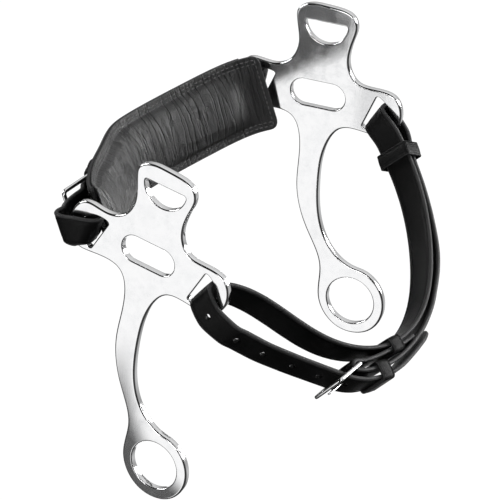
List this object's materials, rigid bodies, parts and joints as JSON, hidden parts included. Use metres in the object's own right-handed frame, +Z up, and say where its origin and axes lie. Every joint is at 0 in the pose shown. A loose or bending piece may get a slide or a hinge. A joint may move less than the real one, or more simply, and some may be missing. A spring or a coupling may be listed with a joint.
{
  "type": "bitless hackamore",
  "caption": "Mechanical bitless hackamore: padded leather noseband and buckled leather curb strap looped through slotted polished steel cheeks with long shanks and rein rings.",
  "frame": {"origin": "centre of the bounding box at rest", "axes": "+X towards the horse's nose, +Y towards the horse's left, +Z up along the cheek plates"},
  "size_m": [0.2126, 0.2076, 0.236],
  "materials": {
    "polished_steel": "polished chromed steel, soft rounded edges",
    "buckle_steel": "bright nickel-plated wire",
    "strap_leather": "black strap leather, smooth, waxed, edges dyed",
    "pad_leather": "black soft leather, fine cross wrinkles, stitched border",
    "foam": "dark felt and foam filling"
  },
  "bodies": {
    "noseband": {"noseband_backing": "strap_leather", "noseband_strap": "strap_leather", "noseband_pad_lining": "pad_leather", "noseband_foam": "foam", "left_nose_chape": "strap_leather", "right_nose_chape": "strap_leather"},
    "left_cheek": {"left_cheek_plate": "polished_steel"},
    "right_cheek": {"right_cheek_plate": "polished_steel"},
    "curb_strap": {"chin_strap": "strap_leather"},
    "chin_buckle_frame": {"chin_buckle_frame": "buckle_steel"},
    "chin_buckle_tongue": {"chin_buckle_tongue": "buckle_steel"},
    "left_nose_buckle_frame": {"left_nose_buckle_frame": "buckle_steel"},
    "left_nose_buckle_tongue": {"left_nose_buckle_tongue": "buckle_steel"},
    "right_nose_buckle_frame": {"right_nose_buckle_frame": "buckle_steel"},
    "right_nose_buckle_tongue": {"right_nose_buckle_tongue": "buckle_steel"},
    "chin_keeper_left": {"chin_keeper_left": "strap_leather"},
    "chin_keeper_centre": {"chin_keeper_centre": "strap_leather"},
    "chin_keeper_right": {"chin_keeper_right": "strap_leather"},
    "left_nose_keeper": {"left_nose_keeper": "strap_leather"},
    "left_nose_tip_keeper": {"left_nose_tip_keeper": "strap_leather"},
    "right_nose_keeper": {"right_nose_keeper": "strap_leather"},
    "right_nose_tip_keeper": {"right_nose_tip_keeper": "strap_leather"}
  },
  "joints": [
    {"name": "left_cheek_lever", "type": "hinge", "parent": "noseband", "child": "left_cheek", "pos_m": [0.05594, 0.09237, 0.03599], "axis": [0.0357, 0.9936, -0.1072], "range_deg": [-5, 25]},
    {"name": "right_cheek_lever", "type": "hinge", "parent": "noseband", "child": "right_cheek", "pos_m": [0.04931, -0.09231, 0.0559], "axis": [0.0357, 0.9936, -0.1072], "range_deg": [-5, 25]},
    {"name": "curb_strap_swing", "type": "hinge", "parent": "left_cheek", "child": "curb_strap", "pos_m": [-0.00836, 0.09664, 0.02915], "axis": [0.0351, 0.9871, -0.156], "range_deg": [-10, 16]},
    {"name": "chin_buckle_hinge", "type": "hinge", "parent": "curb_strap", "child": "chin_buckle_frame", "pos_m": [-0.08333, 0.04661, -0.02325], "axis": [-0.6104, 0.1416, 0.7793], "range_deg": [0, 4]},
    {"name": "chin_tongue_hinge", "type": "hinge", "parent": "chin_buckle_frame", "child": "chin_buckle_tongue", "pos_m": [-0.08333, 0.04661, -0.02325], "axis": [-0.6104, 0.1416, 0.7793], "range_deg": [0, 4]},
    {"name": "left_nose_buckle_hinge", "type": "hinge", "parent": "noseband", "child": "left_nose_buckle_frame", "pos_m": [0.08917, 0.03984, 0.02744], "axis": [-0.3739, -0.0864, -0.9234], "range_deg": [0, 6]},
    {"name": "left_nose_tongue_hinge", "type": "hinge", "parent": "left_nose_buckle_frame", "child": "left_nose_buckle_tongue", "pos_m": [0.08917, 0.03984, 0.02744], "axis": [-0.3739, -0.0864, -0.9234], "range_deg": [0, 8]},
    {"name": "right_nose_buckle_hinge", "type": "hinge", "parent": "noseband", "child": "right_nose_buckle_frame", "pos_m": [0.08708, -0.04522, 0.03622], "axis": [0.3738, 0.0861, 0.9235], "range_deg": [0, 6]},
    {"name": "right_nose_tongue_hinge", "type": "hinge", "parent": "right_nose_buckle_frame", "child": "right_nose_buckle_tongue", "pos_m": [0.08708, -0.04522, 0.03622], "axis": [0.3738, 0.0861, 0.9235], "range_deg": [0, 8]},
    {"name": "chin_keeper_left_slide", "type": "slide", "parent": "curb_strap", "child": "chin_keeper_left", "axis": [-0.3244, -0.9411, -0.0954], "range_m": [-0.0012, 0.0012]},
    {"name": "chin_keeper_centre_slide", "type": "slide", "parent": "curb_strap", "child": "chin_keeper_centre", "axis": [-0.2327, -0.9724, -0.0137], "range_m": [-0.0012, 0.0012]},
    {"name": "chin_keeper_right_slide", "type": "slide", "parent": "curb_strap", "child": "chin_keeper_right", "axis": [0.6407, -0.4992, 0.5834], "range_m": [-0.0012, 0.0003]},
    {"name": "left_nose_keeper_slide", "type": "slide", "parent": "noseband", "child": "left_nose_keeper", "axis": [0.3051, -0.9517, -0.0347], "range_m": [-0.0012, 0.0012]},
    {"name": "left_nose_tip_keeper_slide", "type": "slide", "parent": "noseband", "child": "left_nose_tip_keeper", "axis": [0.3185, -0.9471, -0.0407], "range_m": [-0.0012, 0.0012]},
    {"name": "right_nose_keeper_slide", "type": "slide", "parent": "noseband", "child": "right_nose_keeper", "axis": [0.3754, 0.8964, -0.2358], "range_m": [-0.0012, 0.0012]},
    {"name": "right_nose_tip_keeper_slide", "type": "slide", "parent": "noseband", "child": "right_nose_tip_keeper", "axis": [0.3375, 0.9148, -0.2219], "range_m": [-0.0012, 0.0012]}
  ],
  "couplings": [
    {"joint": "right_cheek_lever", "follows": "left_cheek_lever", "ratio": 1}
  ]
}
